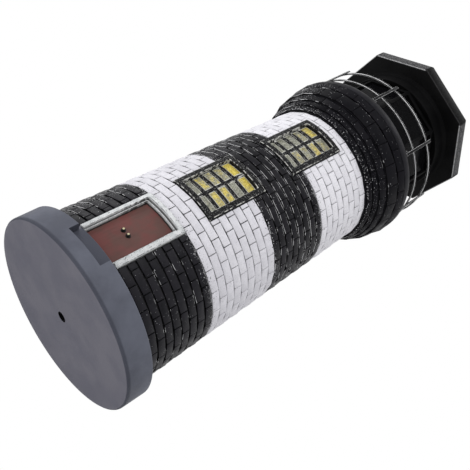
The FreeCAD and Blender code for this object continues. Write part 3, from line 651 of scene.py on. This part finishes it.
def tower_bricks():
    """The banded tower: thirty-three courses that step in with the taper."""
    openings = [opening(node, 0.45 * MM) for node in FRAMED]
    paints = {paint: Brickwork(paint) for paint in ("black", "white")}
    foot, number = PLINTH_TOP, 0
    for paint, band_top, count in BANDS:
        pitch = (band_top - foot) / count
        for _ in range(count):
            radius = corner_radius(foot)
            paints[paint].course(number, foot, foot + pitch, radius, radius, openings)
            foot += pitch
            number += 1
    for paint, brickwork in paints.items():
        brickwork.finish(f"{paint}_bricks", f"{paint}_brick_paint", "tower_shell", "tower_paint")


def tower_core():
    """The wall behind the bricks, whose surface is the floor of the joints."""
    wall, behind = 2.2 * MM, -35 * MM
    foot, top = PLINTH_TOP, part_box("tower_shell")[1].z
    foot_face, top_face = (corner_radius(z) * FLAT - JOINT_DEPTH for z in (foot, top))
    bm = bmesh.new()
    turned(bm, ((foot_face, foot, 0), (top_face, top, 0), (top_face - wall, top, 0),
                (foot_face - wall, foot, 0)))
    core = piece("tower_core", bm, "mortar", "tower_shell")
    for node in FRAMED:
        left, right, low, high = opening(node, 0.1 * MM)
        cut_block(core, (left, IN_FRONT, low), (right, behind, high))


def cut_block(thing, low, high):
    """Cuts a block out of a piece."""
    bm = bmesh.new()
    box(bm, low, high)
    mesh = bpy.data.meshes.new("cutter")
    bm.to_mesh(mesh)
    bm.free()
    cutter = bpy.data.objects.new("cutter", mesh)
    bpy.context.scene.collection.objects.link(cutter)
    modifier = thing.modifiers.new("cut", "BOOLEAN")
    modifier.operation, modifier.solver, modifier.object = "DIFFERENCE", "EXACT", cutter
    bpy.context.view_layer.update()
    result = bpy.data.meshes.new_from_object(thing.evaluated_get(bpy.context.evaluated_depsgraph_get()))
    thing.modifiers.clear()
    result.name = thing.data.name
    thing.data = result
    bpy.data.objects.remove(cutter)


def corbel():
    """Five courses that flare out, on a core that carries the lip and the deck."""
    bricks = Brickwork("corbel")
    spigot, hollow, bore, lip, deck = 40.3 * MM, 38.1 * MM, 34.2 * MM, 53.6 * MM, 52.1 * MM
    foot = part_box("tower_shell")[1].z
    bottom, deck_top = (corner.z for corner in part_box("gallery_corbel"))
    corners = [(spigot, bottom, 0), (spigot, foot, 0)]
    for number, (height, radius) in enumerate(CORBEL_COURSES):
        bricks.course(number + 1, foot, foot + height, radius - CORBEL_FLARE, radius)
        core = (radius - CORBEL_FLARE) * FLAT - JOINT_DEPTH
        corners += [(core, foot, 0), (core + CORBEL_FLARE / 2, foot + height, 0)]
        foot += height
    bricks.finish("corbel_bricks", "corbel_brick_paint", "gallery_corbel", "gallery_black")
    ceiling = deck_top - 3.5 * MM
    corners += [(lip, foot, 0.8 * MM), (lip, deck_top - 3.1 * MM, 1.6 * MM), (deck, deck_top, 1.2 * MM),
                (bore, deck_top, 0.4 * MM), (bore, ceiling, 0), (46.0 * MM, ceiling, 0),
                (43.0 * MM, 202 * MM, 0), (hollow, 192 * MM, 0), (hollow, bottom, 0)]
    bm = bmesh.new()
    turned(bm, corners)
    piece("gallery_deck", bm, "gallery_black", "gallery_corbel")


# ---- base ----

def base():
    """Round grey base: softened rim, doorstep cut, central hole and the plinth for the tower."""
    rim_top, floor_top, plinth = 15.5 * MM, 3.0 * MM, 50.2 * MM
    inside, cut_back, cut_top = plinth - 3 * MM, plinth - 4 * MM, 20 * MM
    bm = bmesh.new()
    turned(bm, ((BASE_HOLE, 0, 0.25 * MM), (BASE_RADIUS, 0, 1.3 * MM), (BASE_RADIUS, rim_top, 0.9 * MM),
                (inside, rim_top, 0), (inside, floor_top, 0), (BASE_HOLE, floor_top, 0)), BASE_ROUND)
    rim = piece("base_rim", bm, "base_grey", "base_disc")
    cut_block(rim, (-DOORSTEP / 2, IN_FRONT, STEP_TOP), (DOORSTEP / 2, -cut_back, cut_top))
    ring, ring_foot = 46.6 * MM, 5 * MM
    bm = bmesh.new()
    turned(bm, ((ring, ring_foot, 0), (plinth, ring_foot, 0), (plinth, PLINTH_TOP, 0.5 * MM),
                (ring, PLINTH_TOP, 0)), BASE_ROUND)
    piece("base_plinth", bm, "base_grey", "base_disc")


# ---- door and windows ----

def plate(cuts_across, cuts_up, is_open, thickness):
    """A flat plate in the XZ plane, cut at the given lines, less its open cells, made thick."""
    bend, apart = 2.0 * MM, 0.5 * MM
    left, right, foot, top = cuts_across[0], cuts_across[-1], cuts_up[0], cuts_up[-1]
    bm = bmesh.new()
    for vert in bmesh.ops.create_grid(bm, x_segments=1, y_segments=1, size=1.0)["verts"]:
        vert.co = (right if vert.co.x > 0 else left, 0, top if vert.co.y > 0 else foot)
    count = int((right - left) / bend)
    bends = [left + (right - left) * step / count for step in range(1, count)]
    bends = [x for x in bends if all(abs(x - cut) > apart for cut in cuts_across)]
    for x in cuts_across[1:-1] + bends:
        split(bm, bm.faces, (x, 0, 0), (1, 0, 0))
    for z in cuts_up[1:-1]:
        split(bm, bm.faces, (0, 0, z), (0, 0, 1))
    cells = [face for face in bm.faces if is_open(*face.calc_center_median().xz)]
    bmesh.ops.delete(bm, geom=cells, context="FACES")
    made = bmesh.ops.extrude_face_region(bm, geom=bm.faces[:])["geom"]
    back = [item for item in made if isinstance(item, bmesh.types.BMVert)]
    bmesh.ops.translate(bm, verts=back, vec=(0, thickness, 0))
    bmesh.ops.recalc_face_normals(bm, faces=bm.faces)
    return bm


def onto_wall(bm, front):
    """Bends a flat piece round the leaning wall, its front face that far in from the brick corners."""
    for vert in bm.verts:
        radius = corner_radius(vert.co.z) - front - vert.co.y
        vert.co.y = -math.sqrt(radius ** 2 - vert.co.x ** 2)


def note_depth(bm):
    """Marks for the finish how deep each point lies behind the plate's front."""
    deepest = 5 * MM
    layer = bm.verts.layers.float.new("sunk")
    for vert in bm.verts:
        vert[layer] = min(max(vert.co.y / deepest, 0.0), 1.0)


def framed(left, right, foot, top, border, thickness, front, sill=True):
    """A border inside a rectangle, bevelled and bent onto the wall; a door's has no sill."""
    inner_left, inner_right, inner_top = left + border, right - border, top - border
    inner_foot = foot + border if sill else foot
    heights = [foot, inner_foot, inner_top, top] if sill else [foot, inner_top, top]
    bm = plate([left, inner_left, inner_right, right], heights,
               lambda x, z: inner_left < x < inner_right and inner_foot < z < inner_top, thickness)
    bevel(bm, sharp_edges(bm), min(0.45 * MM, border / 4))
    note_depth(bm)
    note_arris(bm)
    onto_wall(bm, front)
    return bm


def door():
    """White jambs and lintel with a bead inside them, the sunken brown leaf and its two knobs."""
    low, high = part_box("door_frame")
    jamb, lintel, bead, groove = 3.7 * MM, 4.2 * MM, 0.6 * MM, 0.35 * MM
    top = high.z - lintel + jamb
    bm = framed(low.x, high.x, low.z, high.z, jamb - bead - groove, thickness=4.9 * MM, front=-0.9 * MM,
                sill=False)
    piece("door_surround", bm, "door_white", "door_frame")
    edge = jamb - bead
    bm = framed(low.x + edge, high.x - edge, low.z, top - edge, bead, thickness=3.2 * MM, front=0.7 * MM,
                sill=False)
    piece("door_bead", bm, "door_white", "door_frame")
    bm = plate([low.x + jamb, high.x - jamb], [low.z, top - jamb], lambda x, z: False, thickness=1.6 * MM)
    bevel(bm, sharp_edges(bm), 0.25 * MM)
    onto_wall(bm, 2.4 * MM)
    piece("door_leaf", bm, "door_brown", "door_panel")
    knobs()


def knobs():
    """Two turned knobs, each on a stem and a flat rose."""
    low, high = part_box("door_knobs")
    height = (low.z + high.z) / 2
    from_end, ball, squash, ball_front, taper = 1.2 * MM, 0.95 * MM, 0.7, 0.7 * MM, 0.9
    rose, stem = (1.4, -0.1, 0.3), (0.55, 0.2, 1.1)       # radius, start and end off the leaf
    bm = bmesh.new()
    # sunk marks where the knob is painted in shade: its back half, stem and rose
    sunk = bm.verts.layers.float.new("sunk")
    for side in (-1, 1):
        across = side * (high.x - from_end)
        made = bmesh.ops.create_uvsphere(bm, u_segments=20, v_segments=12, radius=ball)["verts"]
        bmesh.ops.scale(bm, verts=made, vec=(1, squash, 1))
        for vert in made:
            vert[sunk] = min(max(vert.co.y / (squash * ball) + 1.0, 0.0), 1.0)
        bmesh.ops.translate(bm, verts=made, vec=(across, low.y + ball_front, height))
        for radius, start, end in (rose, stem):
            made = bmesh.ops.create_cone(bm, cap_ends=True, segments=20, radius1=radius * MM,
                                         radius2=radius * MM * taper, depth=(end - start) * MM)["verts"]
            bmesh.ops.rotate(bm, verts=made, cent=(0, 0, 0), matrix=Matrix.Rotation(math.pi / 2, 3, "X"))
            bmesh.ops.translate(bm, verts=made, vec=(across, high.y - (start + end) / 2 * MM, height))
            for vert in made:
                vert[sunk] = 1.0
    piece("door_handles", bm, "knob_metal", "door_knobs")


# painted light: this table sets each pane's painted glow
LIT = {   # how strongly each pane glows, rows from the sill up, left pane and right pane
    "lower": ((0.02, 0.10), (0.42, 0.46), (0.34, 0.52), (0.32, 0.08), (0.66, 0.58)),
    "upper": ((0.02, 0.04), (0.06, 0.32), (0.12, 0.22), (0.28, 0.46), (0.52, 0.26)),
}


def window(which):
    """Black surround, lattice of glazing bars and ten separate panes painted as lit, the top two a bit
    taller.
    """
    border, bar, rows, taller = 3.4 * MM, 2.0 * MM, 5, 1.0 * MM
    node = f"{which}_window_frame"
    low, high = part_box(node)
    bm = framed(low.x, high.x, low.z, high.z, border, thickness=4.2 * MM, front=-0.9 * MM)
    piece(f"{which}_window_surround", bm, "window_black", node)
    left, right, foot, top = low.x + border, high.x - border, low.z + border, high.z - border
    pitch = (top - foot - taller + bar) / rows
    cells = [(foot + pitch * row, foot + pitch * (row + 1) - bar) for row in range(rows)]
    cells[-1] = (cells[-1][0], cells[-1][1] + taller)
    columns = ((left, -bar / 2), (bar / 2, right))

    def in_cell(x, z):
        """Whether a point lies in one of the ten openings."""
        return any(sill < z < head for sill, head in cells) and any(near < x < far for near, far in columns)

    edge = 0.3 * MM
    bm = plate([left - edge, left, -bar / 2, bar / 2, right, right + edge],
               [foot - edge, *(height for cell in cells for height in cell), top + edge],
               in_cell, thickness=1.3 * MM)
    bevel(bm, sharp_edges(bm), 0.48 * MM)
    note_depth(bm)
    note_arris(bm)
    onto_wall(bm, 1.2 * MM)
    piece(f"{which}_window_bars", bm, "window_black", node)
    panes(which, cells, columns)


def panes(which, cells, columns):
    """Pillow-edged panes, each with its own painted glow and bent in strips."""
    front, back, gap, edge, pillow, strips = 1.7 * MM, 3.3 * MM, 0.08 * MM, 0.9 * MM, 0.3 * MM, 5
    bm = bmesh.new()
    glow, rim = (bm.verts.layers.float.new(name) for name in ("glow", "rim"))
    for row, (low, high) in enumerate(cells):
        for column, (left, right) in enumerate(columns):

            def inside(place):
                """Whether a point lies on this pane."""
                return left < place.x < right and low < place.z < high

            made = box(bm, (left + gap, front + pillow, low + gap), (right - gap, back, high - gap))
            outer = min({face for vert in made for face in vert.link_faces},
                        key=lambda face: face.calc_center_median().y)
            bmesh.ops.inset_region(bm, faces=[outer], thickness=edge, depth=0.0)
            bmesh.ops.translate(bm, verts=outer.verts[:], vec=(0, -pillow, 0))
            for strip in range(1, strips):
                faces = [face for face in bm.faces if inside(face.calc_center_median())]
                split(bm, faces, (left + (right - left) * strip / strips, 0, 0), (1, 0, 0))
            for vert in (vert for vert in bm.verts if inside(vert.co)):
                vert[glow] = LIT[which][row][column]
                vert[rim] = 0.0 if vert.co.y < front + 0.1 * MM else 1.0
    onto_wall(bm, 0.0)
    piece(f"{which}_window_lights", bm, "pane_amber", f"{which}_window_panes")


# ---- railing ----

def railing():
    """Two hoops inside eight flat posts, each post on a small square foot."""
    hoop, width, height, soft = 51.2 * MM, 1.1 * MM, 1.3 * MM, 0.35 * MM
    for node in ("lower_rail", "upper_rail"):
        low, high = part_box(node)
        middle = (low.z + high.z) / 2
        bm = bmesh.new()
        turned(bm, [(radius, middle + side * height / 2, soft) for radius, side in
                    ((hoop, -1), (hoop, 1), (hoop - width, 1), (hoop - width, -1))])
        note_arris(bm, angle=20)
        piece(f"{node}_hoop", bm, "railing_black", node)
    low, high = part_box("railing_posts")
    face, post, depth = hoop + 0.05 * MM, 1.9 * MM, 0.9 * MM
    foot, foot_top = 3.6 * MM, low.z + 2.0 * MM
    bm = bmesh.new()
    for number in range(OCTAGON):
        bar = box(bm, (-post / 2, -face - depth, low.z), (post / 2, -face, high.z))
        pad = box(bm, (-foot / 2, -face, low.z), (foot / 2, -face + foot, foot_top))
        turn_round(bm, bar + pad, number * 2 * math.pi / OCTAGON)
    bevel(bm, sharp_edges(bm), 0.25 * MM)
    note_arris(bm)
    # the posts' inner arrises get only part of the painted highlight
    arris, half_highlight = bm.verts.layers.float["arris"], 0.6
    for vert in bm.verts:
        if vert.co.xy.length < face - 0.3 * MM:
            vert[arris] = half_highlight
    piece("rail_posts", bm, "railing_black", "railing_posts")


# ---- solar head ----

def roof():
    """Octagonal roof with bevelled edges, a recess for the panel and a round neck below."""
    low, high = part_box("roof_cap")
    eaves, recess_depth = 278.2 * MM, 3.2 * MM
    recess = 33.1 * MM                  # half its width
    past_recess = recess * 1.45         # its corners lie at 1.41
    bm = bmesh.new()
    made = bmesh.ops.create_cone(bm, cap_ends=True, segments=OCTAGON, radius1=high.x, radius2=high.x,
                                 depth=high.z - eaves)["verts"]
    bmesh.ops.translate(bm, verts=made, vec=(0, 0, (eaves + high.z) / 2))

    def top_faces():
        """The faces at the roof's top, as they are now."""
        return [face for face in bm.faces if face.calc_center_median().z > high.z - TOUCHING]

    for axis in (Vector((1, 0, 0)), Vector((0, 1, 0))):
        for side in (-1, 1):
            split(bm, top_faces(), axis * side * recess, axis)
    middle = [face for face in top_faces()
              if max(abs(part) for part in face.calc_center_median().xy) < recess]
    made = bmesh.ops.extrude_face_region(bm, geom=middle)["geom"]
    sunk = [item for item in made if isinstance(item, bmesh.types.BMVert)]
    bmesh.ops.translate(bm, verts=sunk, vec=(0, 0, -recess_depth))
    bmesh.ops.delete(bm, geom=[face for face in middle if face.is_valid], context="FACES_ONLY")
    bmesh.ops.recalc_face_normals(bm, faces=bm.faces)
    outer = [edge for edge in sharp_edges(bm)
             if min(vert.co.xy.length for vert in edge.verts) > past_recess]
    band = bm.verts.layers.float.new("edge_band")
    bevel(bm, outer, 0.8 * MM)
    note_arris(bm)
    for vert in bm.verts:
        out = max(vert.co.dot(Vector((math.cos(turn), math.sin(turn), 0))) for turn in
                  (math.pi / OCTAGON * (2 * side + 1) for side in range(OCTAGON)))
        vert[band] = 1.0 if out > ROOF_FLAT - 0.4 * MM else 0.0
    piece("roof", bm, "roof_black", "roof_cap", body="head")
    neck, flare, into_roof = 40.2 * MM, 1.8 * MM, eaves + 0.1 * MM
    inside = neck - 3.2 * MM
    bm = bmesh.new()
    turned(bm, ((inside, low.z, 0.3 * MM), (neck, low.z, 0.5 * MM), (neck, eaves - 1.6 * MM, 1.2 * MM),
                (neck + flare, into_roof, 0), (inside, into_roof, 0)))
    piece("roof_neck", bm, "head_black", "roof_cap", body="head")


CARRIED_OVER = {
    "lantern_base": "head_black", "lantern_glass": "smoked_glazing", "lantern_cage": "head_black",
    "panel_bezel": "head_black", "solar_panel": "solar_cell", "lamp_board": "circuit_green",
    "beacon_lamp": "lamp_clear", "mirror_carrier": "head_black", "beacon_mirror": "mirror_face",
    "drive_shaft": "steel", "drive_motor": "steel", "motor_bracket": "steel",
    "tray_plate": "head_black", "tray_screws": "steel", "battery_cover": "head_black",
    "battery_cell": "cell_sleeve", "battery_contacts": "contact_metal", "circuit_board": "circuit_green",
    "circuit_parts": "circuit_dark", "switch_body": "steel", "switch_knob": "switch_white",
    "window_lamp": "lamp_clear",
}


def carried_over():
    """The plain pieces of the frame keep their shape and get their finish."""
    for node, finish in CARRIED_OVER.items():
        mesh = frame["nodes"][node].data
        mesh.materials.clear()
        mesh.materials.append(finishes[finish])


# ---- stage ----

def lamp(name, place, aim, size, power, mirrored=True):
    """A square soft lamp that faces the axis at the aim's height; one that isn't mirrored shows in no
    reflection."""
    light = bpy.data.lights.new(name, "AREA")
    light.energy, light.size = power, size
    thing = bpy.data.objects.new(name, light)
    thing.visible_glossy = mirrored
    thing.location = place
    thing.rotation_euler = (Vector((0, 0, aim)) - Vector(place)).to_track_quat("-Z", "Y").to_euler()
    bpy.context.scene.collection.objects.link(thing)


def world(ambient):
    """White for the camera, in reflections and through clear pieces, a plain soft light for the rest."""
    sky = bpy.data.worlds.new("studio")
    bpy.context.scene.world = sky
    sky.use_nodes = True
    tree = sky.node_tree
    background = tree.nodes["Background"]
    background.inputs["Color"].default_value = (1, 1, 1, 1)
    rays = tree.nodes.new("ShaderNodeLightPath").outputs
    seen = rays["Is Camera Ray"]
    for ray in ("Is Glossy Ray", "Is Transmission Ray"):
        node = tree.nodes.new("ShaderNodeMath")
        node.operation = "MAXIMUM"
        tree.links.new(seen, node.inputs[0])
        tree.links.new(rays[ray], node.inputs[1])
        seen = node.outputs["Value"]
    strength = tree.nodes.new("ShaderNodeMapRange")
    strength.inputs["To Min"].default_value = ambient
    strength.inputs["To Max"].default_value = 1.0
    tree.links.new(seen, strength.inputs["Value"])
    tree.links.new(strength.outputs["Result"], background.inputs["Strength"])


def floor():
    """A pale floor that fades to white; from below it is clear, so that the underside shows."""
    size, under_base, fade_from, fade_to = 3.0, -0.3 * MM, 0.12, 0.7
    bm = bmesh.new()
    bmesh.ops.create_grid(bm, x_segments=1, y_segments=1, size=size)
    bmesh.ops.translate(bm, verts=bm.verts, vec=(0, 0, under_base))
    mesh = bpy.data.meshes.new("floor")
    bm.to_mesh(mesh)
    bm.free()
    ground = bpy.data.objects.new("floor", mesh)
    bpy.context.scene.collection.objects.link(ground)
    material = bpy.data.materials.new("pale_floor")
    material.use_nodes = True
    tree = material.node_tree
    tree.nodes.clear()
    new = tree.nodes.new
    paint = new("ShaderNodeBsdfDiffuse")
    paint.inputs["Color"].default_value = (0.86, 0.86, 0.86, 1)
    white = new("ShaderNodeEmission")
    place = new("ShaderNodeTexCoord")
    distance = new("ShaderNodeVectorMath")
    distance.operation = "LENGTH"
    fade = new("ShaderNodeMapRange")
    fade.interpolation_type = "SMOOTHSTEP"
    fade.inputs["From Min"].default_value = fade_from
    fade.inputs["From Max"].default_value = fade_to
    top = new("ShaderNodeMixShader")
    clear = new("ShaderNodeBsdfTransparent")
    side = new("ShaderNodeNewGeometry")
    either = new("ShaderNodeMixShader")
    output = new("ShaderNodeOutputMaterial")
    for source, target in ((place.outputs["Object"], distance.inputs[0]),
                           (distance.outputs["Value"], fade.inputs["Value"]),
                           (fade.outputs["Result"], top.inputs["Fac"]),
                           (paint.outputs["BSDF"], top.inputs[1]),
                           (white.outputs["Emission"], top.inputs[2]),
                           (side.outputs["Backfacing"], either.inputs["Fac"]),
                           (top.outputs["Shader"], either.inputs[1]),
                           (clear.outputs["BSDF"], either.inputs[2]),
                           (either.outputs["Shader"], output.inputs["Surface"])):
        tree.links.new(source, target)
    mesh.materials.append(material)
    ground.visible_shadow = False
    ground.visible_diffuse = False


def camera():
    """Low in front and to the door's right, looking up, rolled so that the tower leans to the right."""
    place = Vector((156.8, -329.6, -120.3)) * MM
    aim = Vector((7.4, 3.3, 115.5)) * MM
    roll = math.radians(59.9)
    lens = bpy.data.cameras.new("camera")
    lens.sensor_width = 36.0
    lens.lens = 56.1
    lens.clip_start = 0.02
    eye = bpy.data.objects.new("camera", lens)
    look = (aim - place).to_track_quat("-Z", "Y").to_matrix().to_4x4()
    eye.matrix_world = Matrix.Translation(place) @ look @ Matrix.Rotation(roll, 4, "Z")
    bpy.context.scene.collection.objects.link(eye)
    bpy.context.scene.camera = eye


tower_bricks()
tower_core()
corbel()
base()
door()
for which in ("lower", "upper"):
    window(which)
railing()
roof()
carried_over()

world(ambient=0.60)
lamp("left", (-0.95, -0.35, 0.45), aim=0.14, size=0.35, power=2.4)
lamp("rim", (-1.03, 0.52, 0.45), aim=0.14, size=0.35, power=2.4, mirrored=False)
lamp("right", (0.85, 0.30, 0.70), aim=0.14, size=0.35, power=0.8)
lamp("top", (0.1, -0.4, 1.2), aim=0.14, size=0.5, power=2.4)
lamp("front", (0.08, -1.0, 0.35), aim=0.17, size=0.5, power=3.0)
lamp("low", (-0.20, -0.30, -0.9), aim=0.05, size=0.45, power=3.6)
floor()
camera()
bpy.context.scene.view_settings.view_transform = "Standard"
